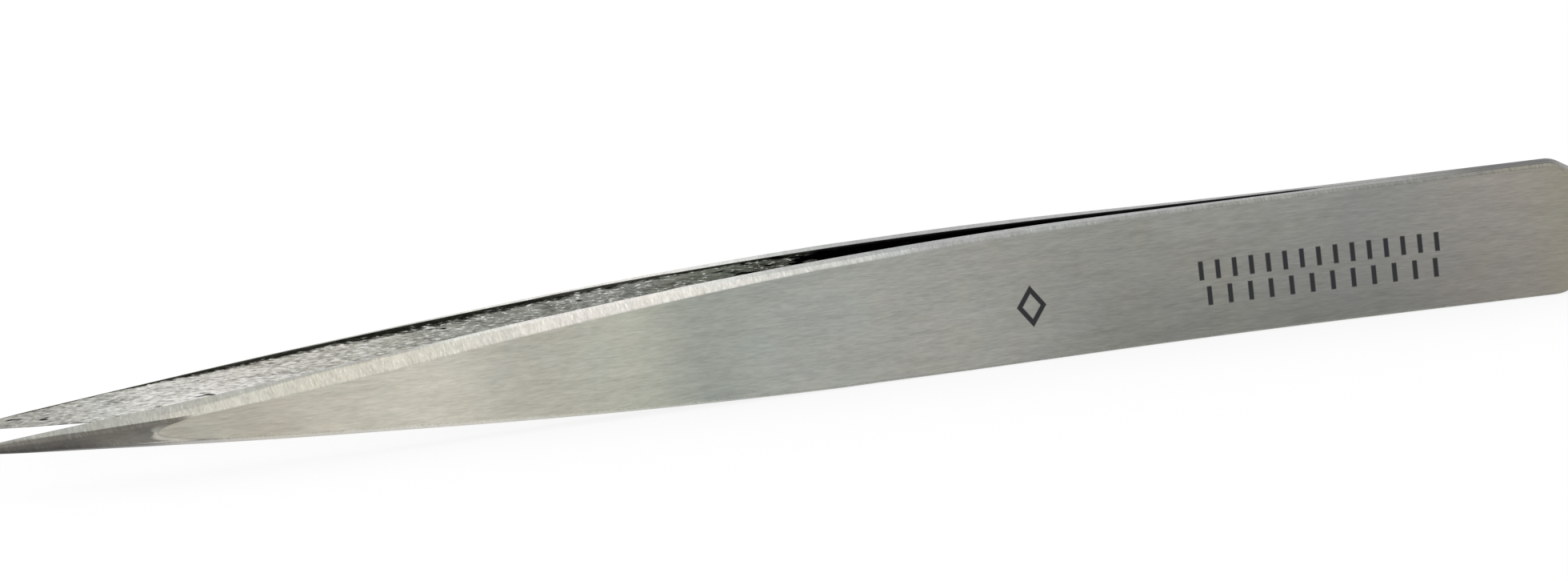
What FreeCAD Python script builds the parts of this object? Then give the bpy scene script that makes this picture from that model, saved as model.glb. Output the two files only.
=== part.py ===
import FreeCAD, Part
import math
import os

import Sketcher

# Fine tweezers, lying on the long lower edges of their two legs.
# X runs from the tips (negative) to the tail, Y is the way the legs open, Z is up.
# The origin is under the middle of the overall length, on the surface the tweezers lie on.
# Each leg is one ground steel blank, and the two are welded face to face at the tail.

os.makedirs("parts", exist_ok=True)
doc = FreeCAD.newDocument("fine_tweezers")

# Driving dimensions, in millimetres
SIZES = [
    ("overall_length", 121.0, "tip to tail end"),
    ("leg_width", 10.05, "height of the broad face along the grip and tail"),
    ("tip_rise", 3.05, "lower side of the tip above the resting edge"),
    ("tip_width", 0.5, "height of the blank at the tip, before the cone is ground"),
    ("top_taper", 60.1, "tip to where the upper edge becomes level"),
    ("top_taper_radius", 455.0, "blend of the upper edge into the level run"),
    ("bottom_taper", 51.5, "tip to where the lower edge becomes level"),
    ("bottom_taper_radius", 541.0, "blend of the lower edge into the level run"),
    ("nose_length", 3.1, "slanted part of the tail end, along the leg"),
    ("nose_drop", 1.95, "slanted part of the tail end, across the leg"),
    ("nose_corner_radius", 2.0, "between a long edge and the slanted part"),
    ("nose_end_radius", 4.0, "between the slanted part and the end of the tail"),
    ("tip_gap", 3.2, "inner face from the middle plane, at the tip"),
    ("bend_gap", 3.94, "inner face from the middle plane, at the sharp point of the bend"),
    ("bend_length", 22.0, "tip to the bend where the legs turn towards each other"),
    ("inner_bend_radius", 263.0, "inner face at the bend"),
    ("outer_bend_radius", 150.0, "outer face at the bend"),
    ("inner_parting", 33.7, "tail end to where the straight inner faces would meet"),
    ("inner_spring_radius", 568.0, "inner face where the legs part"),
    ("outer_parting", 26.9, "tail end to where the outer face turns out"),
    ("outer_spring_radius", 300.0, "outer face where the legs part"),
    ("tip_thickness", 1.05, "one leg at the tip, before the cone is ground"),
    ("bend_thickness", 2.0, "one leg at the bend"),
    ("tail_thickness", 1.0, "one leg at the welded tail"),
    ("bevel_slope", 0.45, "drop of the outer bevels for each millimetre outwards"),
    ("tip_edge", 0.1, "flat edge between the inner face and the bevels, at the tip"),
    ("bend_edge", 0.1, "the same at the bend"),
    ("tail_edge", 0.6, "the same at the tail end"),
    ("cone_tip_radius", 0.18, "radius of the ground cone at the tip"),
    ("cone_length", 30.0, "length over which the cone is ground"),
    ("cone_clearance", 0.51, "from half the outline's height to the cone, at the cone's end"),
    ("stock_margin", 1.0, "how far the cutting outlines reach past the leg"),
]

sizes = doc.addObject("Spreadsheet::Sheet", "Sizes")
for row, (alias, value, remark) in enumerate(SIZES, start=1):
    sizes.set(f"A{row}", alias)
    sizes.set(f"B{row}", str(value))
    sizes.set(f"C{row}", remark)
    sizes.setAlias(f"B{row}", alias)
doc.recompute()


def number(expression):
    """The present value of an expression on the sheet."""
    return float(sizes.evalExpression(expression))


def line_at(x, first, second):
    """Expression for the height at x of the straight line through two points."""
    (x1, y1), (x2, y2) = first, second
    return f"({y1}) + (({y2}) - ({y1})) * (({x}) - ({x1})) / (({x2}) - ({x1}))"


# Stations along the leg, as expressions
TIP = "-Sizes.overall_length / 2"
TAIL = "Sizes.overall_length / 2"
BEND = "-Sizes.overall_length / 2 + Sizes.bend_length"
TOP_TAPER = "-Sizes.overall_length / 2 + Sizes.top_taper"
BOTTOM_TAPER = "-Sizes.overall_length / 2 + Sizes.bottom_taper"
PARTING = "Sizes.overall_length / 2 - Sizes.inner_parting"
OUTER_PARTING = "Sizes.overall_length / 2 - Sizes.outer_parting"
NOSE = "Sizes.overall_length / 2 - Sizes.nose_length"
BEFORE_TIP = "-Sizes.overall_length / 2 - Sizes.stock_margin"
PAST_TAIL = "Sizes.overall_length / 2 + Sizes.stock_margin"
TIP_TOP = "Sizes.tip_rise + Sizes.tip_width"
ABOVE = "2 * Sizes.leg_width"
BELOW = "-Sizes.leg_width"
CONE_END = "-Sizes.overall_length / 2 + Sizes.cone_length"
TOP_LINE = (TIP, TIP_TOP), (TOP_TAPER, "Sizes.leg_width")
BOTTOM_LINE = (TIP, "Sizes.tip_rise"), (BOTTOM_TAPER, "0")
TOP_BEND = line_at(BEND, *TOP_LINE)
BOTTOM_BEND = line_at(BEND, *BOTTOM_LINE)
MIDDLE_BEND = f"(({TOP_BEND}) + ({BOTTOM_BEND})) / 2"


def attached_sketch(body, name, role):
    """A sketch of the body on the origin plane with this role."""
    plane = next(item for item in body.Origin.OriginFeatures if item.Role == role)
    sketch = body.newObject("Sketcher::SketchObject", name)
    sketch.AttachmentSupport = [(plane, "")]
    sketch.MapMode = "FlatFace"
    return sketch


def bind(sketch, constraint, expression):
    """Adds a dimension whose value follows the sheet."""
    index = sketch.addConstraint(constraint)
    sketch.setExpression(f"Constraints[{index}]", expression)


def add_outline(sketch, corners):
    """Closed outline through corners (x, y, radius), all expressions.

    A corner without a radius is sharp. A rounded one is an arc that is tangent to both
    its lines, and a construction point keeps the sharp corner, which is dimensioned.
    """
    points = [FreeCAD.Vector(number(x), number(y), 0) for x, y, radius in corners]
    entries = []
    exits = []
    arcs = []
    left_turns = []
    for index, (x, y, radius) in enumerate(corners):
        corner = points[index]
        inward = (corner - points[index - 1]).normalize()
        outward = (points[(index + 1) % len(points)] - corner).normalize()
        left_turns.append(inward.cross(outward).z > 0)
        if radius is None:
            entries.append(corner)
            exits.append(corner)
            arcs.append(None)
            continue
        half_turn = inward.getAngle(outward) / 2
        reach = number(radius) * math.tan(half_turn)
        entry = corner - inward * reach
        leave = corner + outward * reach
        middle_way = (outward - inward).normalize()
        bulge = number(radius) * (1 / math.cos(half_turn) - 1)
        arcs.append(Part.Arc(entry, corner + middle_way * bulge, leave))
        entries.append(entry)
        exits.append(leave)
    lines = []
    for index in range(len(corners)):
        follower = (index + 1) % len(corners)
        lines.append(sketch.addGeometry(Part.LineSegment(exits[index], entries[follower]), False))
    for index, (x, y, radius) in enumerate(corners):
        before = lines[index - 1]
        after = lines[index]
        if radius is None:
            sketch.addConstraint(Sketcher.Constraint("Coincident", before, 2, after, 1))
            holder = after
        else:
            arc = sketch.addGeometry(arcs[index], False)
            first, last = (1, 2) if left_turns[index] else (2, 1)
            sketch.addConstraint(Sketcher.Constraint("Tangent", before, 2, arc, first))
            sketch.addConstraint(Sketcher.Constraint("Tangent", after, 1, arc, last))
            bind(sketch, Sketcher.Constraint("Radius", arc, number(radius)), radius)
            holder = sketch.addGeometry(Part.Point(points[index]), True)
            sketch.addConstraint(Sketcher.Constraint("PointOnObject", holder, 1, before))
            sketch.addConstraint(Sketcher.Constraint("PointOnObject", holder, 1, after))
        bind(sketch, Sketcher.Constraint("DistanceX", holder, 1, points[index].x), x)
        bind(sketch, Sketcher.Constraint("DistanceY", holder, 1, points[index].y), y)


def rectangle(low_x, low_y, high_x, high_y):
    """Corners of a plain rectangle."""
    return [(low_x, low_y, None), (high_x, low_y, None), (high_x, high_y, None), (low_x, high_y, None)]


INNER_TIP = "Sizes.tip_gap"
INNER_BEND = "Sizes.bend_gap"
OUTER_TIP = "Sizes.tip_gap + Sizes.tip_thickness"
OUTER_BEND = "Sizes.bend_gap + Sizes.bend_thickness"


def pad_profile(body, side):
    """The leg seen from above: a sprung and bent strip, thickest at the bend."""
    sketch = attached_sketch(body, body.Name + "_profile", "XY_Plane")
    corners = [
        (TIP, INNER_TIP, None),
        (BEND, INNER_BEND, "Sizes.inner_bend_radius"),
        (PARTING, "0", "Sizes.inner_spring_radius"),
        (PAST_TAIL, "0", None),
        (PAST_TAIL, "Sizes.tail_thickness", None),
        (OUTER_PARTING, "Sizes.tail_thickness", "Sizes.outer_spring_radius"),
        (BEND, OUTER_BEND, "Sizes.outer_bend_radius"),
        (TIP, OUTER_TIP, None),
    ]
    add_outline(sketch, [(x, f"{side} * ({y})", radius) for x, y, radius in corners])
    pad = body.newObject("PartDesign::Pad", body.Name + "_strip")
    pad.Profile = sketch
    pad.SideType = "Two sides"
    pad.setExpression("Length", "Sizes.leg_width + Sizes.stock_margin")
    pad.setExpression("Length2", "Sizes.stock_margin")
    return pad


def trim_to_outline(body):
    """The broad face's outline: tapered towards the tip, with a slanted nose at the tail."""
    sketch = attached_sketch(body, body.Name + "_outline", "XZ_Plane")
    add_outline(sketch, rectangle(BEFORE_TIP, BELOW, "Sizes.overall_length", ABOVE))
    add_outline(sketch, [
        (TIP, "Sizes.tip_rise", None),
        (BOTTOM_TAPER, "0", "Sizes.bottom_taper_radius"),
        (NOSE, "0", "Sizes.nose_corner_radius"),
        (TAIL, "Sizes.nose_drop", "Sizes.nose_end_radius"),
        (TAIL, "Sizes.leg_width - Sizes.nose_drop", "Sizes.nose_end_radius"),
        (NOSE, "Sizes.leg_width", "Sizes.nose_corner_radius"),
        (TOP_TAPER, "Sizes.leg_width", "Sizes.top_taper_radius"),
        (TIP, TIP_TOP, None),
    ])
    pocket = body.newObject("PartDesign::Pocket", body.Name + "_trimmed")
    pocket.Profile = sketch
    pocket.Type = "ThroughAll"
    pocket.Midplane = True
    return pocket


def grind_bevel(body, side, name, edge, away):
    """Slanted flat along one long edge of the outer face.

    The bevel leaves a strip of the edge next to the inner face, and past that strip it
    closes in on the middle of the leg by bevel_slope for each millimetre outwards.
    """
    tip_height, bend_height, taper, level, radius = edge
    up = 1 if away == ABOVE else -1
    start_tip = f"{INNER_TIP} + Sizes.tip_edge"
    start_bend = f"{INNER_BEND} + Sizes.bend_edge"
    start_tail = "Sizes.tail_edge"
    start_taper = line_at(taper, (BEND, start_bend), (PAST_TAIL, start_tail))
    stations = [
        (BEFORE_TIP, tip_height, start_tip, None),
        (BEND, bend_height, start_bend, "Sizes.outer_bend_radius"),
        (taper, level, start_taper, radius),
        (PAST_TAIL, level, start_tail, None),
    ]
    line = [
        (x, f"({height}) + {up} * Sizes.bevel_slope * ({start})", blend)
        for x, height, start, blend in stations
    ]
    sketch = attached_sketch(body, f"{body.Name}_{name}_line", "XZ_Plane")
    add_outline(sketch, line + [(PAST_TAIL, away, None), (BEFORE_TIP, away, None)])
    pocket = body.newObject("PartDesign::Pocket", f"{body.Name}_{name}")
    pocket.Profile = sketch
    pocket.UseCustomVector = True
    pocket.Direction = FreeCAD.Vector(0, side, -up * number("Sizes.bevel_slope"))
    pocket.setExpression("Length", "2 * (Sizes.bend_gap + Sizes.bend_thickness)")
    return pocket


def grind_tip(body, side):
    """Cone ground round the tip, about an axis on the inner face midway up the blank.

    It widens from the tip's radius to a clearance past half the outline's height.
    """
    sketch = attached_sketch(body, body.Name + "_cone_line", "XY_Plane")
    tip_middle = "(Sizes.tip_rise + Sizes.tip_width / 2)"
    climb = f"(({MIDDLE_BEND}) - {tip_middle}) / Sizes.bend_length"
    tilt = math.degrees(math.atan(number(climb)))
    axis_y = FreeCAD.Vector(0, 1, 0)
    sketch.AttachmentOffset = FreeCAD.Placement(FreeCAD.Vector(), FreeCAD.Rotation(axis_y, -tilt))
    sketch.setExpression("AttachmentOffset.Base.x", TIP)
    sketch.setExpression("AttachmentOffset.Base.z", tip_middle)
    sketch.setExpression("AttachmentOffset.Rotation.Angle", f"-atan({climb})")
    inner = ("0", INNER_TIP), ("Sizes.bend_length", INNER_BEND)
    front = "-Sizes.stock_margin"
    back = "Sizes.cone_length"
    wide = "Sizes.leg_width"
    half_height = f"(({line_at(CONE_END, *TOP_LINE)}) - ({line_at(CONE_END, *BOTTOM_LINE)})) / 2"
    end_radius = f"{half_height} + Sizes.cone_clearance"
    radii = ("0", "Sizes.cone_tip_radius"), ("Sizes.cone_length", end_radius)
    corners = [(x, f"{line_at(x, *inner)} + {line_at(x, *radii)}") for x in (front, back)]
    corners += [(back, f"{INNER_BEND} + {wide}"), (front, f"{INNER_BEND} + {wide}")]
    add_outline(sketch, [(x, f"{side} * ({y})", None) for x, y in corners])
    ends = [FreeCAD.Vector(number(x), side * number(y), 0) for x, y in inner]
    axis = sketch.addGeometry(Part.LineSegment(*ends), True)
    for end, (x, y) in enumerate(inner, start=1):
        place = ends[end - 1]
        bind(sketch, Sketcher.Constraint("DistanceX", axis, end, place.x), x)
        bind(sketch, Sketcher.Constraint("DistanceY", axis, end, place.y), f"{side} * ({y})")
    groove = body.newObject("PartDesign::Groove", body.Name + "_cone")
    groove.Profile = sketch
    groove.ReferenceAxis = (sketch, ["Axis0"])
    groove.Angle = 360
    return groove


def make_leg(name, side):
    """One leg, on the side of the middle plane that side gives."""
    body = doc.addObject("PartDesign::Body", name)
    body.Label = name
    pad_profile(body, side)
    trim_to_outline(body)
    level = "Sizes.leg_width"
    top_edge = (TIP_TOP, TOP_BEND, TOP_TAPER, level, "Sizes.top_taper_radius")
    bottom_edge = ("Sizes.tip_rise", BOTTOM_BEND, BOTTOM_TAPER, "0", "Sizes.bottom_taper_radius")
    grind_bevel(body, side, "top_bevel", top_edge, ABOVE)
    grind_bevel(body, side, "bottom_bevel", bottom_edge, BELOW)
    grind_tip(body, side)
    return body


legs = [make_leg("front_leg", -1), make_leg("rear_leg", 1)]
doc.recompute()

for item in doc.Objects:
    if "Invalid" in item.State or "Error" in item.State:
        raise RuntimeError(f"{item.Name} failed: {item.State}")
for leg in legs:
    if leg.Shape.isNull() or not leg.Shape.isValid() or len(leg.Shape.Solids) != 1:
        raise RuntimeError(f"{leg.Label} is not one valid solid")
for leg in legs:
    leg.Shape.exportStep(f"parts/{leg.Label}.step")
    box = leg.Shape.optimalBoundingBox(True, False)
    print(leg.Label, round(leg.Shape.Volume, 2), "mm3", box)
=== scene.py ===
import math

import bpy
import numpy as np
from mathutils import Matrix, Vector


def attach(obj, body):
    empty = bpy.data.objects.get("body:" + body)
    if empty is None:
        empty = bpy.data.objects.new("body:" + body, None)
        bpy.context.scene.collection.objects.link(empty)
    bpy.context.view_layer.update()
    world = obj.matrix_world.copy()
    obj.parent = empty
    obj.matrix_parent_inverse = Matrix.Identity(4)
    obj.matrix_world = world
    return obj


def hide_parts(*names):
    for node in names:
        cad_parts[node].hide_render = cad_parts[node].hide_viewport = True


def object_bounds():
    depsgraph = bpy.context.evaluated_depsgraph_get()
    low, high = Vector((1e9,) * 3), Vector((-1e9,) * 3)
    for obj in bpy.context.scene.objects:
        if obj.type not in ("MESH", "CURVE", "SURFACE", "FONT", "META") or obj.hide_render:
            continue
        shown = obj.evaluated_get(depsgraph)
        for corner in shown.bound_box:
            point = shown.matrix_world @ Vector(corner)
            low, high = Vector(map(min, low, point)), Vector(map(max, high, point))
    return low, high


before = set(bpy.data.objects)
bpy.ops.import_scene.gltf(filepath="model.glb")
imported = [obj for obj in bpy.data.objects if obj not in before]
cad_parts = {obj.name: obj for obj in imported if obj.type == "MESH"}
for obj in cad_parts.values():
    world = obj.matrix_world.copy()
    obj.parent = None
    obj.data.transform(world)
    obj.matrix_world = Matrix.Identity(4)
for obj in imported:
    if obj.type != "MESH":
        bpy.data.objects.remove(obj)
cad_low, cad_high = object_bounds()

# Legs
# Two mirrored legs of hardened stainless steel, each ground from one flat blank.
# A leg widens and thins towards the welded tail, its outer edges are bevelled by hand on a
# wheel, and the last centimetres before the tip are ground round to a slender half cone.
MM = 0.001
LENGTH = (cad_high.x - cad_low.x) / MM
WIDTH = (cad_high.z - cad_low.z) / MM

# Steps and reaches along the leg in millimetres, and how many stations its two ends have.
TIP_ROUNDING = 0.16
TAIL_ROUNDING = 0.12
ROUNDING_STATIONS = 9
FIRST_SHARE = 0.12
CONE_STEP = 0.055
CONE_END = 20
BLADE_STEP = 0.4
BLADE_STOP = 4
SLANT_REACH = 3.8
SLANT_STATIONS = 34
SLANT_CROWDING = 1.6


def stations_along_leg():
    """Places along the leg in millimetres from the tip, closest together at the two ends.

    Even steps over the cone and the blade, a quarter turn of a circle over each end's rounding,
    and a power of the distance from the end over the slanted end of the tail.
    """
    quarter = np.linspace(FIRST_SHARE, 1, ROUNDING_STATIONS) * np.pi / 2
    tip = TIP_ROUNDING * (1 - np.cos(quarter))
    cone = np.arange(TIP_ROUNDING + CONE_STEP, CONE_END, CONE_STEP)
    blade = np.arange(CONE_END + BLADE_STEP / 2, LENGTH - BLADE_STOP, BLADE_STEP)
    crowded = (1 - np.linspace(0, 1, SLANT_STATIONS)) ** SLANT_CROWDING
    slant = LENGTH - TAIL_ROUNDING - SLANT_REACH * crowded
    end = LENGTH - TAIL_ROUNDING * (1 - np.sin(quarter))
    return np.concatenate([tip, cone, blade, slant, end])


def rounded_line(s, corners):
    """Height at s of straight runs through the corners (s, height, radius), each rounded by its arc."""
    points = np.array([(x, y) for x, y, radius in corners], float)
    height = np.interp(s, points[:, 0], points[:, 1])
    for (before, corner, after), (x, y, radius) in zip(zip(points, points[1:], points[2:]), corners[1:]):
        into = (corner - before) / np.linalg.norm(corner - before)
        out = (after - corner) / np.linalg.norm(after - corner)
        turn = into[0] * out[1] - into[1] * out[0]
        reach = radius * math.tan(math.acos(into @ out) / 2)
        side = 1 if turn > 0 else -1
        centre = corner - into * reach + side * radius * np.array([-into[1], into[0]])
        inside = (s > corner[0] - into[0] * reach) & (s <= corner[0] + out[0] * reach)
        arc = centre[1] - side * np.sqrt(np.maximum(radius ** 2 - (s - centre[0]) ** 2, 0))
        height = np.where(inside, arc, height)
    return height


# Outlines in millimetres, as corners (from the tip, height, radius). The broad face lies between
# its top and bottom, and the other lines are distances from the middle plane between the legs.
SLANT_LENGTH = 3.1
SLANT_DROP = 1.95
FACE_TOP = [
    (0, 3.55, 0), (60.1, WIDTH, 455), (LENGTH - SLANT_LENGTH, WIDTH, 2),
    (LENGTH, WIDTH - SLANT_DROP, 4), (LENGTH, 0, 0),
]
FACE_BOTTOM = [
    (0, 3.05, 0), (51.5, 0, 541), (LENGTH - SLANT_LENGTH, 0, 2),
    (LENGTH, SLANT_DROP, 4), (LENGTH, WIDTH, 0),
]
INNER_LINE = [(0, 3.2, 0), (22, 3.94, 263), (LENGTH - 33.7, 0, 568), (LENGTH, 0, 0)]
OUTER_LINE = [(0, 4.25, 0), (22, 5.94, 150), (LENGTH - 26.9, 1.0, 300), (LENGTH, 1.0, 0)]
BEVEL_LINE = [(0, 3.33, 0), (22, 4.04, 150), (LENGTH, 0.64, 0)]
INSIDE_SOLID = 0.003
BEVEL_SLOPE = 0.45
LEAST_FACE = 0.01
LEAST_END_BEVEL = 0.05

# The least width of the bevel and the break of the inner edges, each at stations along the leg, the
# breaks of the other edges, and the greatest break as a share of the flats beside it.
LEAST_BEVEL_STATIONS = [0, 55, 67, 74, 121]
LEAST_BEVELS = [0.3, 0.3, 0.5, 0.34, 0.34]
BREAK_STATIONS = [0, 12, 18, 23, 27, 42, 44, 52, 53, 61, 64, 80, 90, 99, 101, 104]
BREAKS = [0.02, 0.04, 0.2, 0.2, 0.05, 0.05, 0.22, 0.22, 0.08, 0.08, 0.15, 0.18, 0.24, 0.22, 0.04, 0.02]
BEVEL_BREAK = 0.05
FACE_BREAK = 0.09
GREATEST_BREAK = 0.45

# Points over a broken edge and, as shares, across each flat, and the finish that a strip can have.
ARC_POINTS = 7
EDGE_POINTS = [0.05, 0.35, 0.65, 0.95]
BEVEL_POINTS = [0.06, 0.35, 0.65, 0.94]
FACE_POINTS = [0.008, *np.linspace(0.03, 0.97, 26), 0.992]
INNER_POINTS = [0.01, *np.linspace(0.04, 0.96, 20), 0.99]
SATIN_FACE, GROUND_EDGE, SCRATCHED_INNER = 0, 1, 2


def leg_sections(s):
    """Closed section of the leg at each station, as (out from the inner face, up) in millimetres.

    The six corners are rounded by quadratic curves that start a short reach before the corner,
    and the flats between them get points that lie closer together at their ends.
    Returns the points, the finish of each strip between two points, how far each point lies from
    the edge flat over the bevel and how far up the section, both from 0 to 1, and then the lower
    outline, the upper outline and the inner line.
    """
    top = rounded_line(s, FACE_TOP)
    bottom = rounded_line(s, FACE_BOTTOM)
    inner = rounded_line(s, INNER_LINE)
    thick = rounded_line(s, OUTER_LINE) - inner - INSIDE_SOLID
    edge = rounded_line(s, BEVEL_LINE) - inner
    edge = np.minimum(edge, thick - np.interp(s, LEAST_BEVEL_STATIONS, LEAST_BEVELS))
    half = (top - bottom) / 2
    thick = np.minimum(thick, edge + (half - LEAST_FACE) / BEVEL_SLOPE)
    drop = BEVEL_SLOPE * (thick - edge)
    into_end = np.clip((s - LENGTH + TAIL_ROUNDING) / TAIL_ROUNDING, 0, 1)
    thick = thick - TAIL_ROUNDING * (1 - np.sqrt(1 - into_end ** 2))
    edge = np.minimum(edge, thick - LEAST_END_BEVEL)
    zero = np.zeros_like(s)
    corners = np.stack([
        np.stack([zero, top], -1),
        np.stack([edge, top], -1),
        np.stack([thick, top - drop], -1),
        np.stack([thick, bottom + drop], -1),
        np.stack([edge, bottom], -1),
        np.stack([zero, bottom], -1),
    ], 1)
    broken = np.interp(s, BREAK_STATIONS, BREAKS)
    bevel_break = BEVEL_BREAK + zero
    face_break = FACE_BREAK + zero
    reaches = [broken, bevel_break, face_break, face_break, bevel_break, broken]
    arc_steps = np.linspace(0, 1, ARC_POINTS)
    shares = (EDGE_POINTS, BEVEL_POINTS, FACE_POINTS, BEVEL_POINTS, EDGE_POINTS, INNER_POINTS)
    flats = [np.array(points) for points in shares]
    arc_finish = [SCRATCHED_INNER, GROUND_EDGE, GROUND_EDGE, GROUND_EDGE, GROUND_EDGE, SCRATCHED_INNER]
    flat_finish = [GROUND_EDGE, GROUND_EDGE, SATIN_FACE, GROUND_EDGE, GROUND_EDGE, SCRATCHED_INNER]
    starts = []
    ends = []
    for k in range(6):
        corner = corners[:, k]
        back = corners[:, k - 1] - corner
        ahead = corners[:, (k + 1) % 6] - corner
        back_length = np.linalg.norm(back, axis=1)
        ahead_length = np.linalg.norm(ahead, axis=1)
        reach = np.minimum(reaches[k], GREATEST_BREAK * np.minimum(back_length, ahead_length))
        starts.append(corner + back * (reach / back_length)[:, None])
        ends.append(corner + ahead * (reach / ahead_length)[:, None])
    ring = []
    finish = []
    for k in range(6):
        u = arc_steps[None, :, None]
        curve = (
            (1 - u) ** 2 * starts[k][:, None]
            + 2 * u * (1 - u) * corners[:, k][:, None]
            + u ** 2 * ends[k][:, None]
        )
        ring.append(curve)
        finish += [arc_finish[k]] * (len(arc_steps) - 1)
        w = flats[k][None, :, None]
        ring.append((1 - w) * ends[k][:, None] + w * starts[(k + 1) % 6][:, None])
        finish += [flat_finish[k]] * (len(flats[k]) + 1)
    ring = np.concatenate(ring, 1)
    over_bevel = np.clip((ring[..., 0] - edge[:, None]) / (thick - edge)[:, None], 0, 1)
    rise = (ring[..., 1] - bottom[:, None]) / (top - bottom)[:, None]
    return ring, np.array(finish), over_bevel, rise, bottom, top, inner


# The cone's radius at the tip, its growth along the leg, and the width of its blend into the blank.
CONE_RADIUS = 0.18
CONE_GROWTH = 0.105
CONE_BLEND = 0.03
NOSE_STEEPNESS = 0.06
TIP_CENTRE = 0.4


def grind_tip(points, s, middle):
    """Pulls each point in to the cone about the inner face's middle line.

    The new radius is a soft minimum of the blank's and the cone's, and the last bit before the tip
    shrinks as a quarter circle. Returns the points and, for each, about how far it lies inside the
    ground part, in millimetres, and how far round the cone, from -1 underneath over 0 outside to 1
    on top. The first is the depth of the cut over its steepness, about the sine of that turn.
    """
    axis = np.stack([np.zeros_like(s), middle], -1)[:, None]
    spoke = points - axis
    blank = np.linalg.norm(spoke, axis=2)
    cone = (CONE_RADIUS + CONE_GROWTH * s)[:, None]
    share = np.clip(0.5 + 0.5 * (cone - blank) / CONE_BLEND, 0, 1)
    ground = cone + share * (blank - cone) - CONE_BLEND * share * (1 - share)
    points = axis + spoke * (ground / np.maximum(blank, 1e-6))[..., None]
    into_tip = np.clip((TIP_ROUNDING - s) / TIP_ROUNDING, 0, 1)
    centre = np.stack([TIP_CENTRE * cone[:, 0], middle], -1)[:, None]
    points = centre + (points - centre) * np.sqrt(1 - into_tip ** 2)[:, None, None]
    turn = np.arctan2(spoke[..., 1], np.maximum(spoke[..., 0], 0)) / (np.pi / 2)
    reach = (blank - cone) / np.sqrt(NOSE_STEEPNESS ** 2 + np.sin(turn * np.pi / 2) ** 2)
    return points, reach, turn


# The width of the dark band of painted reflection along the inner edges, at stations along the leg,
# and a value that lies beyond every mask.
DARK_REFLECTION_STATIONS = [
    0, 11, 13, 17, 20, 26.5, 29.5, 32.5, 35.5, 38.5,
    41.5, 44, 46.5, 49, 51.5, 53, 58, 64, 104, 121,
]
DARK_REFLECTION_WIDTHS = [
    0.05, 0.05, 0.12, 0.26, 0.32, 0.42, 0.54, 0.52, 0.58, 0.46,
    0.42, 0.4, 0.28, 0.26, 0.22, 0.16, 0.16, 0.3, 0.3, 0.02,
]
FAR = 9


def make_leg(name, side):
    """A leg as one closed surface: sections carried along the inner line, and a fan over each end.

    Each layer is a value at every point of the sections, and then at the middles of the tip's and
    the tail's fan.
    """
    s = stations_along_leg()
    points, finish, over_bevel, rise, bottom, top, inner = leg_sections(s)
    # The distance to the nearest outline, over the width of the painted dark reflection band.
    reflection_band = np.interp(s, DARK_REFLECTION_STATIONS, DARK_REFLECTION_WIDTHS)
    to_edge = np.minimum(top[:, None] - points[..., 1], points[..., 1] - bottom[:, None]) / reflection_band[:, None]
    points, reach, turn = grind_tip(points, s, (bottom + top) / 2)
    rows, ring = points.shape[:2]
    across = side * (inner[:, None] + points[..., 0])
    along = np.broadcast_to((s - LENGTH / 2)[:, None], across.shape)
    grid = np.stack([along, across, points[..., 1]], -1).reshape(-1, 3)
    caps = np.stack([grid[:ring].mean(0), grid[-ring:].mean(0)])
    vertices = np.concatenate([grid, caps]) * MM
    i, j = np.meshgrid(np.arange(rows - 1), np.arange(ring), indexing="ij")
    after = (j + 1) % ring
    quads = np.stack([i * ring + j, i * ring + after, (i + 1) * ring + after, (i + 1) * ring + j], -1)
    quads = quads.reshape(-1, 4)
    k = np.arange(ring)
    tip_fan = np.stack([(k + 1) % ring, k, np.full(ring, rows * ring)], -1)
    last = (rows - 1) * ring
    tail_fan = np.stack([last + k, last + (k + 1) % ring, np.full(ring, rows * ring + 1)], -1)
    if side > 0:
        quads = quads[:, ::-1]
        tip_fan = tip_fan[:, ::-1]
        tail_fan = tail_fan[:, ::-1]
    mesh = bpy.data.meshes.new(name)
    mesh.from_pydata(vertices.tolist(), [], quads.tolist() + tip_fan.tolist() + tail_fan.tolist())
    finish_of = np.concatenate([np.tile(finish, rows - 1), np.full(2 * ring, GROUND_EDGE)])
    mesh.polygons.foreach_set("material_index", finish_of.astype(np.int32))
    mesh.polygons.foreach_set("use_smooth", np.ones(len(finish_of), bool))
    layers = (
        ("cone_reach", reach, [FAR, -FAR]),
        ("cone_turn", turn, [0, 0]),
        ("to_edge", to_edge, [FAR, FAR]),
        ("over_bevel", over_bevel, [1, -FAR]),
        ("rise", rise, [0.5, 0.5]),
    )
    for label, value, ends in layers:
        layer = mesh.attributes.new(label, "FLOAT", "POINT")
        layer.data.foreach_set("value", np.concatenate([value.ravel(), ends]).astype(np.float32))
    mesh.update()
    leg = bpy.data.objects.new(name, mesh)
    bpy.context.scene.collection.objects.link(leg)
    return leg


# Finishes of the legs
# The broad face is drawn over a fine belt along its length, and the bevels and edges across it.
# The inner faces keep coarser lengthwise scratches, and the ground cone at the tip carries painted shade.
# The colours of all three finishes also hold painted highlights, reflections and shade.


def add_node(tree, kind, inputs=None, **settings):
    """A shader node with its settings, and its inputs as values or as sockets to link."""
    node = tree.nodes.new(kind)
    for key, value in settings.items():
        setattr(node, key, value)
    for key, value in (inputs or {}).items():
        if isinstance(value, bpy.types.NodeSocket):
            tree.links.new(value, node.inputs[key])
        else:
            node.inputs[key].default_value = value
    return node


def calculate(tree, operation, first, second=0.0, third=0.0):
    """The result of one Math node."""
    return add_node(tree, "ShaderNodeMath", {0: first, 1: second, 2: third}, operation=operation).outputs[0]


def soft_step(tree, value, low, high, before=0.0, after=1.0):
    """Goes smoothly from before to after while the value goes from low to high."""
    inputs = {"Value": value, "From Min": low, "From Max": high, "To Min": before, "To Max": after}
    return add_node(tree, "ShaderNodeMapRange", inputs, interpolation_type="SMOOTHSTEP").outputs[0]


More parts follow.
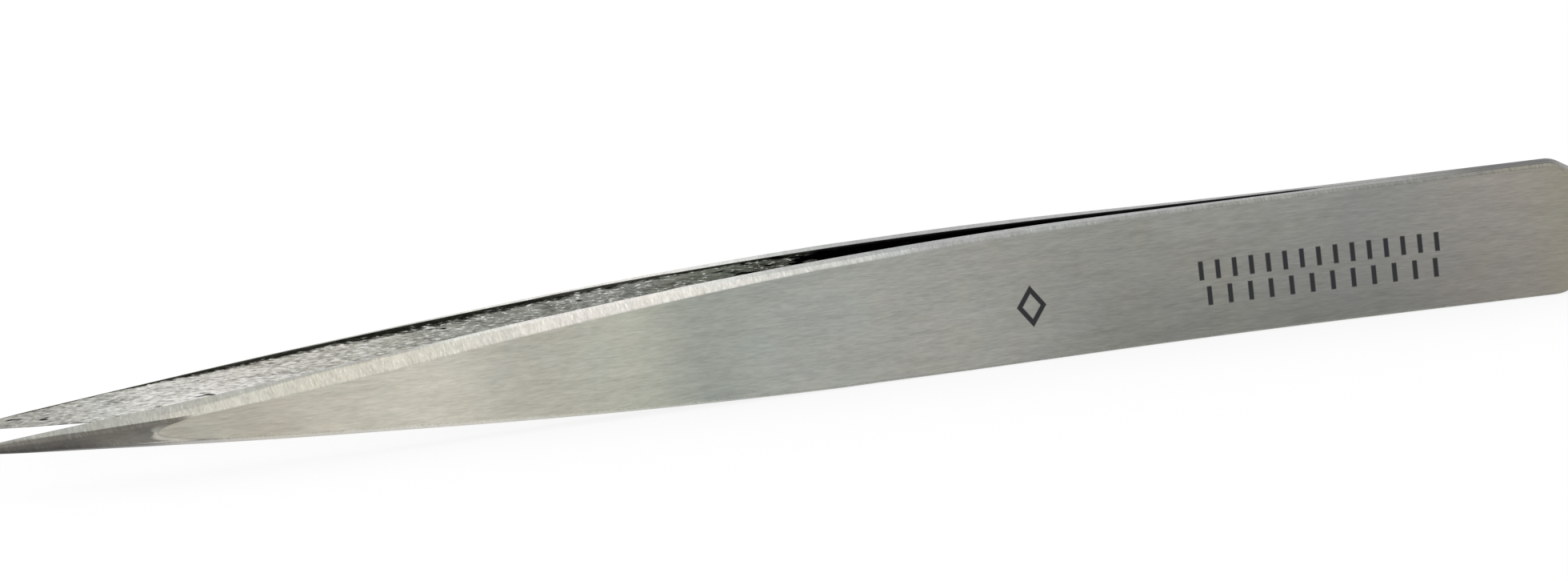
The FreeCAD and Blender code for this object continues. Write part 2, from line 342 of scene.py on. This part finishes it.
def place_along(tree):
    """The place along the leg, from 0 at the tip to 1 at the tail."""
    place = add_node(tree, "ShaderNodeTexCoord").outputs["Object"]
    x = add_node(tree, "ShaderNodeSeparateXYZ", {0: place}).outputs[0]
    return calculate(tree, "MULTIPLY_ADD", x, 1 / (LENGTH * MM), 0.5)


def step_along(tree, share, stretch, before=0.0, after=1.0):
    """Goes smoothly from before to after over a stretch, in millimetres from the tip."""
    start, end = stretch
    return soft_step(tree, share, start / LENGTH, end / LENGTH, before, after)


def mix_colours(tree, share, first, second, blend_type="MIX"):
    """The result of one colour Mix node."""
    mix = add_node(tree, "ShaderNodeMix", data_type="RGBA", blend_type=blend_type)
    for socket, value in ((mix.inputs[0], share), (mix.inputs[6], first), (mix.inputs[7], second)):
        if isinstance(value, bpy.types.NodeSocket):
            tree.links.new(value, socket)
        else:
            socket.default_value = value
    return mix.outputs[2]


def colour_ramp(tree, value, stops):
    """Colour that goes smoothly through the stops, each a place from 0 to 1 and a colour."""
    ramp = add_node(tree, "ShaderNodeValToRGB", {0: value})
    ramp.color_ramp.interpolation = "EASE"
    elements = ramp.color_ramp.elements
    while len(elements) < len(stops):
        elements.new(0.5)
    for element, (place, colour) in zip(elements, stops):
        element.position = place
        element.color = (*colour, 1)
    return ramp.outputs[0]


def new_group(name, inputs, outputs):
    """An empty node group with number inputs (name, default) and number outputs."""
    group = bpy.data.node_groups.new(name, "ShaderNodeTree")
    for label, value in inputs:
        socket = group.interface.new_socket(label, in_out="INPUT", socket_type="NodeSocketFloat")
        socket.default_value = value
    for label in outputs:
        group.interface.new_socket(label, in_out="OUTPUT", socket_type="NodeSocketFloat")
    return group, group.nodes.new("NodeGroupInput").outputs, group.nodes.new("NodeGroupOutput").inputs


PATCH_SCALE = 0.21
CLOUDS_PER_METRE = 260.0
DRIFTS_PER_METRE = 120.0
FINE_SHARE = 0.65
NICK_LEVELS = (0.6, 0.78)


def scratch_group():
    """Scratches as noise stretched along one way: a streak value round a half, and rare strong nicks.

    Along and Across count the scratches per metre, and Lean turns them about the Y axis. Patch is
    the same at a fifth of the count, and Cloud and Drift are soft changes over some millimetres.
    """
    group, given, result = new_group(
        "steel_scratches",
        [("Along", 300.0), ("Across", 12000.0), ("Lean", 0.0)],
        ["Streak", "Nick", "Patch", "Cloud", "Drift"],
    )
    place = add_node(group, "ShaderNodeTexCoord").outputs["Object"]
    turned = add_node(
        group, "ShaderNodeVectorRotate", {"Vector": place, "Angle": given["Lean"]}, rotation_type="Y_AXIS"
    ).outputs[0]
    counts = {0: given["Along"], 1: given["Across"], 2: given["Across"]}
    stretch = add_node(group, "ShaderNodeCombineXYZ", counts).outputs[0]
    factors = {0: turned, 1: stretch}
    scaled = add_node(group, "ShaderNodeVectorMath", factors, operation="MULTIPLY").outputs[0]
    noises = []
    for vector, scale, detail, distortion in (
        (scaled, 1.0, 3.0, 0.3),
        (scaled, PATCH_SCALE, 2.0, 0.0),
        (place, CLOUDS_PER_METRE, 2.0, 0.6),
        (place, DRIFTS_PER_METRE, 3.0, 0.6),
    ):
        inputs = {
            "Vector": vector, "Scale": scale, "Detail": detail, "Roughness": 0.6, "Distortion": distortion
        }
        noises.append(add_node(group, "ShaderNodeTexNoise", inputs).outputs["Fac"])
    fine, patch, cloud, drift = noises
    coarse = calculate(group, "MULTIPLY", patch, 1 - FINE_SHARE)
    streak = calculate(group, "MULTIPLY_ADD", fine, FINE_SHARE, coarse)
    group.links.new(streak, result["Streak"])
    group.links.new(soft_step(group, fine, *NICK_LEVELS), result["Nick"])
    group.links.new(patch, result["Patch"])
    group.links.new(cloud, result["Cloud"])
    group.links.new(drift, result["Drift"])
    return group


STEEL_SCRATCHES = scratch_group()

# Colours round the cone, from 0 underneath to 1 on top, near the point and near the nose of the flat
# face, are painted shade: darker underneath and lighter on top. The pairs below them are stretches in
# millimetres from the tip, or levels of reach and turn.
POINT_SHADE_COLOURS = [
    (0.0, (0.045, 0.042, 0.04)), (0.25, (0.06, 0.056, 0.052)), (0.5, (0.118, 0.112, 0.102)),
    (0.7, (0.165, 0.158, 0.14)), (0.85, (0.28, 0.275, 0.25)), (1.0, (0.38, 0.38, 0.35)),
]
CONE_SHADE_COLOURS = [
    (0.0, (0.06, 0.056, 0.053)), (0.2, (0.16, 0.153, 0.14)), (0.42, (0.205, 0.195, 0.175)),
    (0.6, (0.15, 0.143, 0.126)), (0.8, (0.153, 0.148, 0.127)), (1.0, (0.155, 0.15, 0.13)),
]
# The rim colour is a painted highlight along the edge under the nose of the flat face.
RIM_HIGHLIGHT_COLOUR = (0.50, 0.485, 0.43, 1)
LINE_COLOUR = (0.045, 0.042, 0.04, 1)
LINE_STRENGTH = 0.2
POINT_TO_NOSE = (7, 12.5)
NOSE_START = (12, 14.2)
HORN_END = (15.6, 17.4)
GROUND_REACH = (-0.04, 0.04)
RIM_HIGHLIGHT_REACH = (0.2, 0.38)
LINE_REACH = (0.03, 0.1)
LOWER_TURN = (-0.05, 0.25)


def tip_group():
    """What the grinding of the cone left, and where its painted shade and highlight lie, from the reaches
    and turns that each leg's mesh carries.

    Ground is one on the cone, and fades where the cone's two horns run out along the leg. Facing
    goes from 0 below to 1 on top, and sets the painted shade round the cone. Rim is a painted
    highlight along the edge under the nose of the flat face, and Line the dark line between the two.
    Nose goes from 0 to 1 from the point to the nose.
    """
    group, _, result = new_group("ground_tip", [], ["Ground", "Facing", "Rim", "Line", "Nose"])
    reach = add_node(group, "ShaderNodeAttribute", attribute_name="cone_reach").outputs["Fac"]
    turn = add_node(group, "ShaderNodeAttribute", attribute_name="cone_turn").outputs["Fac"]
    share = place_along(group)
    below = soft_step(group, turn, *LOWER_TURN, 1.0, 0.0)
    under_nose = calculate(group, "MULTIPLY", below, step_along(group, share, NOSE_START))
    ground = soft_step(group, reach, *GROUND_REACH)
    rim_highlight = calculate(group, "MULTIPLY", ground, soft_step(group, reach, *RIM_HIGHLIGHT_REACH, 1.0, 0.0))
    line = soft_step(group, calculate(group, "ABSOLUTE", reach), *LINE_REACH, 1.0, 0.0)
    ground = calculate(group, "MULTIPLY", ground, step_along(group, share, HORN_END, 1.0, 0.0))
    group.links.new(ground, result["Ground"])
    group.links.new(calculate(group, "MULTIPLY_ADD", turn, 0.5, 0.5), result["Facing"])
    group.links.new(calculate(group, "MULTIPLY", rim_highlight, under_nose), result["Rim"])
    group.links.new(calculate(group, "MULTIPLY", line, under_nose), result["Line"])
    group.links.new(step_along(group, share, POINT_TO_NOSE), result["Nose"])
    return group


GROUND_TIP = tip_group()

# Bars as rows (start, end, middle height, count) and the lozenge as (middle, its height, half width,
# half height), in millimetres from the tip and the table.
ETCH_COLOUR = (0.036, 0.037, 0.039, 1)
ETCH_SOFTNESS = 0.05
BAR_ROWS = [(90.76, 109.47, 5.2, 15), (91.09, 109.35, 3.25, 12)]
BAR_HEIGHT = 1.45
BAR_WIDTH = 0.36
LOZENGE = (78.7, 4.3, 1.1, 1.6)
LOZENGE_STROKE = 0.2


def within(tree, distance, limit):
    """One where the distance is under the limit, with a soft edge."""
    return soft_step(tree, distance, limit - ETCH_SOFTNESS, limit + ETCH_SOFTNESS, 1.0, 0.0)


def distance_from(tree, value, middle):
    """How far the value lies from the middle."""
    return calculate(tree, "ABSOLUTE", calculate(tree, "SUBTRACT", value, middle))


def etch_group():
    """Etched marks on the front leg: two rows of plain upright bars, and a lozenge as a plain outline.

    A bar is where the distance from the middle of its pitch is under half its width, and the
    lozenge where the sum of the two distances from its centre, over its half sizes, is near one.
    """
    group, _, result = new_group("etched_marks", [], ["Etched"])
    place = add_node(group, "ShaderNodeTexCoord").outputs["Object"]
    x, y, z = add_node(group, "ShaderNodeSeparateXYZ", {0: place}).outputs
    along = calculate(group, "MULTIPLY_ADD", x, 1 / MM, LENGTH / 2)
    up = calculate(group, "DIVIDE", z, MM)
    marks = []
    for start, end, middle, count in BAR_ROWS:
        pitch = (end - start) / count
        pitches = calculate(group, "DIVIDE", calculate(group, "SUBTRACT", along, start), pitch)
        share = calculate(group, "FRACT", pitches)
        aside = calculate(group, "ABSOLUTE", calculate(group, "MULTIPLY_ADD", share, pitch, -pitch / 2))
        mark = within(group, aside, BAR_WIDTH / 2)
        above = distance_from(group, up, middle)
        mark = calculate(group, "MULTIPLY", mark, within(group, above, BAR_HEIGHT / 2))
        beside = distance_from(group, along, (start + end) / 2)
        mark = calculate(group, "MULTIPLY", mark, within(group, beside, (end - start) / 2))
        marks.append(mark)
    centre, middle, half_width, half_height = LOZENGE
    aside = calculate(group, "DIVIDE", distance_from(group, along, centre), half_width)
    above = calculate(group, "DIVIDE", distance_from(group, up, middle), half_height)
    total = calculate(group, "ADD", aside, above)
    marks.append(within(group, distance_from(group, total, 1 - LOZENGE_STROKE), LOZENGE_STROKE))
    etched = calculate(group, "MAXIMUM", marks[2], calculate(group, "MAXIMUM", marks[0], marks[1]))
    etched = calculate(group, "MULTIPLY", etched, calculate(group, "LESS_THAN", y, 0.0))
    group.links.new(etched, result["Etched"])
    return group


ETCHED_MARKS = etch_group()


def begin_steel(name, along, across, lean=0.0):
    """A metal with its scratches, counted per metre, and with its place along the leg from 0 to 1."""
    material = bpy.data.materials.new(name)
    material.use_nodes = True
    tree = material.node_tree
    tree.nodes["Principled BSDF"].inputs["Metallic"].default_value = 1.0
    counts = {"Along": along, "Across": across, "Lean": lean}
    marks = add_node(tree, "ShaderNodeGroup", counts, node_tree=STEEL_SCRATCHES).outputs
    return material, tree, marks, place_along(tree)


def along_leg(tree, share, stops):
    """Colour that changes along the leg through the stops, each at a distance from the tip."""
    return colour_ramp(tree, share, [(at / LENGTH, shade) for at, shade in stops])


ROUGHNESS_RANGE = 0.12


def end_steel(tree, marks, colour, contrast, nicks, clouds, roughness, depth):
    """Adds the ground cone with its painted shade and rim highlight, warm and cool clouds, streaks,
    roughness and bump, and links the shader.

    The streaks multiply the colour by 1 - 2 to 1 + 2 times the contrast, and stay near 1. Nicks is
    how much the strongest scratches lighten it and raise the bump, and depth is the height of the
    bump in millimetres.
    """
    tip = add_node(tree, "ShaderNodeGroup", node_tree=GROUND_TIP).outputs
    # The cone's colours are painted shade round it, and its rim a painted highlight.
    point = colour_ramp(tree, tip["Facing"], POINT_SHADE_COLOURS)
    nose = colour_ramp(tree, tip["Facing"], CONE_SHADE_COLOURS)
    cone = mix_colours(tree, tip["Nose"], point, nose)
    cone = mix_colours(tree, tip["Rim"], cone, RIM_HIGHLIGHT_COLOUR)
    colour = mix_colours(tree, tip["Ground"], colour, cone)
    line = calculate(tree, "MULTIPLY", tip["Line"], LINE_STRENGTH)
    colour = mix_colours(tree, line, colour, LINE_COLOUR)
    warm = (1 + clouds, 1.0, 1 - clouds, 1)
    cool = (1 - clouds, 1.0, 1 + clouds, 1)
    colour = mix_colours(tree, 1.0, colour, mix_colours(tree, marks["Cloud"], cool, warm), "MULTIPLY")
    gain = calculate(tree, "MULTIPLY_ADD", marks["Streak"], 4 * contrast, 1 - 2 * contrast)
    gain = calculate(tree, "MULTIPLY_ADD", marks["Nick"], nicks, gain)
    drift = calculate(tree, "MULTIPLY_ADD", marks["Drift"], 4 * clouds, 1 - 2 * clouds)
    gain = calculate(tree, "MULTIPLY", gain, drift)
    shade = add_node(tree, "ShaderNodeCombineColor", {0: gain, 1: gain, 2: gain}).outputs[0]
    colour = mix_colours(tree, 1.0, colour, shade, "MULTIPLY")
    shader = tree.nodes["Principled BSDF"]
    tree.links.new(colour, shader.inputs["Base Color"])
    smoothest = roughness - ROUGHNESS_RANGE / 2
    rough = calculate(tree, "MULTIPLY_ADD", marks["Streak"], ROUGHNESS_RANGE, smoothest)
    tree.links.new(rough, shader.inputs["Roughness"])
    height = calculate(tree, "MULTIPLY_ADD", marks["Nick"], nicks, marks["Streak"])
    bump = add_node(tree, "ShaderNodeBump", {"Strength": 1.0, "Distance": depth * MM, "Height": height})
    tree.links.new(bump.outputs[0], shader.inputs["Normal"])
    return shader


# The broad face's colours are the steel's own tone with a painted highlight, lightest at the grip.
# Near the tail its upper half is painted lighter and its lower half darker, as painted light and shade.
FACE_TONE_AND_SHEEN = [
    (8, (0.44, 0.42, 0.365)), (21, (0.475, 0.45, 0.38)), (28, (0.57, 0.55, 0.475)),
    (34, (0.62, 0.595, 0.515)), (42, (0.475, 0.465, 0.405)), (49, (0.485, 0.49, 0.418)),
    (55, (0.352, 0.372, 0.335)), (61, (0.368, 0.383, 0.35)), (72, (0.345, 0.345, 0.315)),
    (88, (0.252, 0.255, 0.231)), (104, (0.237, 0.239, 0.225)), (114, (0.278, 0.262, 0.238)),
    (120, (0.29, 0.274, 0.222)),
]
LIT_TOP_START = (76, 88)
LIT_TOP_END = (108, 119)
LIT_TOP_GAIN = 0.32
LIT_TOP_LOSS = 0.27
LIT_TOP_MIDDLE = 0.45
satin_face, tree, marks, share = begin_steel("satin_face", 900, 9000)
rise = add_node(tree, "ShaderNodeAttribute", attribute_name="rise").outputs["Fac"]
# Painted light and shade: lighter over the upper half near the tail, darker over the lower half.
lit_top = step_along(tree, share, LIT_TOP_START, 0.0, LIT_TOP_GAIN)
lit_top = calculate(tree, "SUBTRACT", lit_top, step_along(tree, share, LIT_TOP_END, 0.0, LIT_TOP_LOSS))
lit_top = calculate(tree, "MULTIPLY_ADD", lit_top, calculate(tree, "SUBTRACT", rise, LIT_TOP_MIDDLE), 1.0)
lit_top = add_node(tree, "ShaderNodeCombineColor", {0: lit_top, 1: lit_top, 2: lit_top}).outputs[0]
colour = mix_colours(tree, 1.0, along_leg(tree, share, FACE_TONE_AND_SHEEN), lit_top, "MULTIPLY")
shader = end_steel(tree, marks, colour, contrast=0.25, nicks=0.0, clouds=0.035, roughness=0.36, depth=0.002)
etch = add_node(tree, "ShaderNodeGroup", node_tree=ETCHED_MARKS).outputs[0]
bare = shader.inputs["Base Color"].links[0].from_socket
tree.links.new(mix_colours(tree, etch, bare, ETCH_COLOUR), shader.inputs["Base Color"])

# An edge has a flat and a bevel, each with its own colours along the leg: the steel's own tone with
# painted reflections, lighter and darker by stretches. The lower edges are darker as painted shade.
# Near the tip the wheel has carried the flat's look part of the way over the bevel.
FLAT_COLOURS = [
    (6, (0.36, 0.365, 0.335)), (14, (0.41, 0.405, 0.365)), (22, (0.405, 0.41, 0.37)),
    (32, (0.41, 0.405, 0.37)), (37, (0.70, 0.70, 0.65)), (44, (0.74, 0.725, 0.69)),
    (50, (0.76, 0.73, 0.68)), (56, (0.70, 0.70, 0.67)), (62, (0.44, 0.452, 0.43)),
    (68, (0.34, 0.352, 0.342)), (74, (0.355, 0.358, 0.355)), (80, (0.37, 0.375, 0.372)),
    (96, (0.33, 0.33, 0.328)), (106, (0.27, 0.27, 0.26)), (109.5, (0.17, 0.17, 0.165)),
    (113, (0.062, 0.062, 0.059)), (117.8, (0.062, 0.06, 0.057)), (119, (0.20, 0.195, 0.18)),
    (121, (0.22, 0.215, 0.195)),
]
BEVEL_COLOURS = [
    (6, (0.33, 0.34, 0.31)), (12, (0.39, 0.395, 0.355)), (16, (0.50, 0.485, 0.43)),
    (20, (0.555, 0.535, 0.475)), (26, (0.57, 0.55, 0.475)), (33, (0.605, 0.58, 0.505)),
    (39, (0.595, 0.575, 0.52)), (45, (0.66, 0.635, 0.59)), (58, (0.67, 0.66, 0.615)),
    (64, (0.58, 0.58, 0.55)), (68, (0.49, 0.50, 0.48)), (74, (0.355, 0.355, 0.345)),
    (80, (0.345, 0.355, 0.34)), (88, (0.295, 0.295, 0.28)), (95, (0.28, 0.28, 0.26)),
    (106, (0.235, 0.237, 0.222)), (121, (0.26, 0.245, 0.205)),
]
SHADED_UNDER_COLOURS = [
    (0, (0.05, 0.047, 0.045)), (13, (0.07, 0.066, 0.06)), (16, (0.36, 0.34, 0.30)),
    (22, (0.475, 0.45, 0.38)), (34, (0.60, 0.575, 0.50)), (49, (0.47, 0.472, 0.40)),
    (58, (0.34, 0.355, 0.32)), (72, (0.30, 0.30, 0.275)), (88, (0.245, 0.248, 0.226)),
    (121, (0.245, 0.24, 0.215)),
]
POLISHED_STRETCH = (14, 28)
POLISHED_NEAR_TIP = 0.52
POLISHED_BEYOND = 0.06
BEVEL_LEVELS = (-0.06, 0.1)
LIT_UPPER_RISE = (0.4, 0.6)
TAIL_STRETCH = (108, 115)
ground_edge, tree, marks, share = begin_steel("ground_edge", 8000, 1500, lean=0.4)
over_bevel = add_node(tree, "ShaderNodeAttribute", attribute_name="over_bevel").outputs["Fac"]
rise = add_node(tree, "ShaderNodeAttribute", attribute_name="rise").outputs["Fac"]
polished = step_along(tree, share, POLISHED_STRETCH, POLISHED_NEAR_TIP, POLISHED_BEYOND)
bevelled = soft_step(tree, calculate(tree, "SUBTRACT", over_bevel, polished), *BEVEL_LEVELS)
flat_colour = along_leg(tree, share, FLAT_COLOURS)
colour = mix_colours(tree, bevelled, flat_colour, along_leg(tree, share, BEVEL_COLOURS))
round_the_end = step_along(tree, share, TAIL_STRETCH)
# Painted shade: the lower edges take the darker colours, except round the end of the tail.
upper = calculate(tree, "MAXIMUM", soft_step(tree, rise, *LIT_UPPER_RISE), round_the_end)
colour = mix_colours(tree, upper, along_leg(tree, share, SHADED_UNDER_COLOURS), colour)
end_steel(tree, marks, colour, contrast=0.33, nicks=0.3, clouds=0.03, roughness=0.34, depth=0.003)

# A ragged dark band of painted reflection runs along the broken edges. The face's colours along the
# leg are its own tone with painted highlights and shade, and where the legs lie close together it has
# patches of painted shade, and then goes black as painted shade between the legs.
DARK_REFLECTION_COLOUR = (0.032, 0.033, 0.027, 1)
GAP_SHADE = (0.004, 0.004, 0.004, 1)
INNER_COLOURS = [
    (0, (0.24, 0.235, 0.215)), (2, (0.39, 0.385, 0.355)), (6, (0.485, 0.48, 0.445)),
    (10, (0.605, 0.605, 0.57)), (14, (0.765, 0.755, 0.715)), (17.5, (0.875, 0.86, 0.815)),
    (22, (0.825, 0.815, 0.77)), (29, (0.835, 0.83, 0.785)), (36, (0.73, 0.735, 0.695)),
    (42, (0.705, 0.71, 0.675)), (46, (0.78, 0.78, 0.75)), (49.5, (0.72, 0.73, 0.70)),
    (52.5, (0.66, 0.675, 0.625)), (56, (0.62, 0.645, 0.59)), (60, (0.62, 0.64, 0.58)),
    (64, (0.74, 0.74, 0.67)), (67, (0.45, 0.45, 0.40)),
]
RAGGEDNESS = 2.4
DARK_REFLECTION_LEVELS = (0.55, 1.3)
SHADE_PATCH_STRETCH = (53, 59)
SHADE_PATCH_LEVELS = (0.68, 0.52)
GAP_SHADE_STRETCH = (62.8, 64.5)
GAP_SHADE_STEP = 0.3
SHADE_PATCH_EDGE = (-0.05, 0.05)
scratched_inner, tree, marks, share = begin_steel("scratched_inner", 1700, 12000)
colour = along_leg(tree, share, INNER_COLOURS)
to_edge = add_node(tree, "ShaderNodeAttribute", attribute_name="to_edge").outputs["Fac"]
to_edge = calculate(tree, "SUBTRACT", to_edge, RAGGEDNESS / 2)
ragged = calculate(tree, "MULTIPLY_ADD", marks["Streak"], RAGGEDNESS, to_edge)
# The dark band along the edges is a painted reflection.
colour = mix_colours(tree, soft_step(tree, ragged, *DARK_REFLECTION_LEVELS, 1.0, 0.0), colour, DARK_REFLECTION_COLOUR)
# Painted shade between the legs: ragged patches, and then black.
bound = step_along(tree, share, SHADE_PATCH_STRETCH, *SHADE_PATCH_LEVELS)
bound = calculate(tree, "SUBTRACT", bound, step_along(tree, share, GAP_SHADE_STRETCH, 0.0, GAP_SHADE_STEP))
shade_patches = calculate(tree, "SUBTRACT", marks["Patch"], bound)
colour = mix_colours(tree, soft_step(tree, shade_patches, *SHADE_PATCH_EDGE), colour, GAP_SHADE)
end_steel(tree, marks, colour, contrast=0.95, nicks=1.6, clouds=0.03, roughness=0.30, depth=0.014)

for leg_name, side, node in (("ground_front_leg", -1, "front_leg"), ("ground_rear_leg", 1, "rear_leg")):
    leg = make_leg(leg_name, side)
    for finish in (satin_face, ground_edge, scratched_inner):
        leg.data.materials.append(finish)
    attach(leg, "root")
    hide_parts(node)

# Floor
# A plain white table top that the tweezers lie on, wide enough to fill every view.
# The camera and the reflections see it nearly white, with a share of the tweezers' shadow left.
FLOOR_HALF = 3.0
SHADOW_SHARE = 0.15
floor_mesh = bpy.data.meshes.new("floor")
floor_corners = [(x * FLOOR_HALF, y * FLOOR_HALF, 0) for x, y in ((-1, -1), (1, -1), (1, 1), (-1, 1))]
floor_mesh.from_pydata(floor_corners, [], [(0, 1, 2, 3)])
floor = bpy.data.objects.new("floor", floor_mesh)
bpy.context.scene.collection.objects.link(floor)
floor_paint = bpy.data.materials.new("white_table")
floor_paint.use_nodes = True
tree = floor_paint.node_tree
tree.nodes.clear()
rays = add_node(tree, "ShaderNodeLightPath").outputs
seen = calculate(tree, "MAXIMUM", rays["Is Camera Ray"], rays["Is Glossy Ray"])
seen = calculate(tree, "MAXIMUM", seen, rays["Is Transmission Ray"])
share = calculate(tree, "MULTIPLY", seen, 1 - SHADOW_SHARE)
matt = add_node(tree, "ShaderNodeBsdfDiffuse", {"Color": (0.96, 0.96, 0.96, 1)})
white = add_node(tree, "ShaderNodeEmission", {"Color": (1, 1, 1, 1), "Strength": 1.0})
mixed = add_node(tree, "ShaderNodeMixShader", {0: share, 1: matt.outputs[0], 2: white.outputs[0]})
add_node(tree, "ShaderNodeOutputMaterial", {"Surface": mixed.outputs[0]})
floor_mesh.materials.append(floor_paint)

# Light
# An even white room, with one large soft lamp over the table and a smaller one at the front left.
# Both are a little warmer than the room.
world = bpy.data.worlds.new("white_room")
world.use_nodes = True
world.node_tree.nodes["Background"].inputs["Color"].default_value = (1, 1, 1, 1)
world.node_tree.nodes["Background"].inputs["Strength"].default_value = 1.0
bpy.context.scene.world = world


def soft_lamp(name, place, target, size, power, colour):
    """A square area lamp at place, in metres, that faces the target."""
    lamp = bpy.data.lights.new(name, "AREA")
    lamp.size = size
    lamp.energy = power
    lamp.color = colour
    holder = bpy.data.objects.new(name, lamp)
    holder.location = place
    holder.rotation_euler = (Vector(target) - Vector(place)).to_track_quat("-Z", "Y").to_euler()
    bpy.context.scene.collection.objects.link(holder)


soft_lamp("overhead_lamp", (0.0, 0.1, 0.8), (0, 0, 0), 1.0, 0.5, (1, 0.98, 0.94))
soft_lamp("front_lamp", (-0.3, -0.4, 0.3), (-0.03, 0, 0), 0.3, 0.1, (1, 0.95, 0.88))

# Camera
# A long lens from a little above, rolled so that the tail rises to the right of the picture.
# Its focal length is given in pixels of a picture 1960 wide.
DISTANCE = 0.6
ELEVATION = math.radians(15.5)
ROLL = math.radians(6.90)
AIM = Vector((0.0003, 0, 0.00719))
PICTURE_WIDTH = 1960
FOCAL_PIXELS = 10200
SENSOR_WIDTH = 36
camera_data = bpy.data.cameras.new("camera")
camera_data.sensor_width = SENSOR_WIDTH
camera_data.lens = FOCAL_PIXELS / PICTURE_WIDTH * SENSOR_WIDTH
camera_data.clip_start = 0.05
camera_data.clip_end = 10
camera = bpy.data.objects.new("camera", camera_data)
forward = Vector((0, math.cos(ELEVATION), -math.sin(ELEVATION)))
level = Vector((1, 0, 0))
above = level.cross(forward)
right = level * math.cos(ROLL) - above * math.sin(ROLL)
up = level * math.sin(ROLL) + above * math.cos(ROLL)
place = AIM - forward * DISTANCE
camera.matrix_world = Matrix((
    (right.x, up.x, -forward.x, place.x),
    (right.y, up.y, -forward.y, place.y),
    (right.z, up.z, -forward.z, place.z),
    (0, 0, 0, 1),
))
bpy.context.scene.collection.objects.link(camera)
bpy.context.scene.camera = camera
bpy.context.scene.view_settings.view_transform = "Standard"
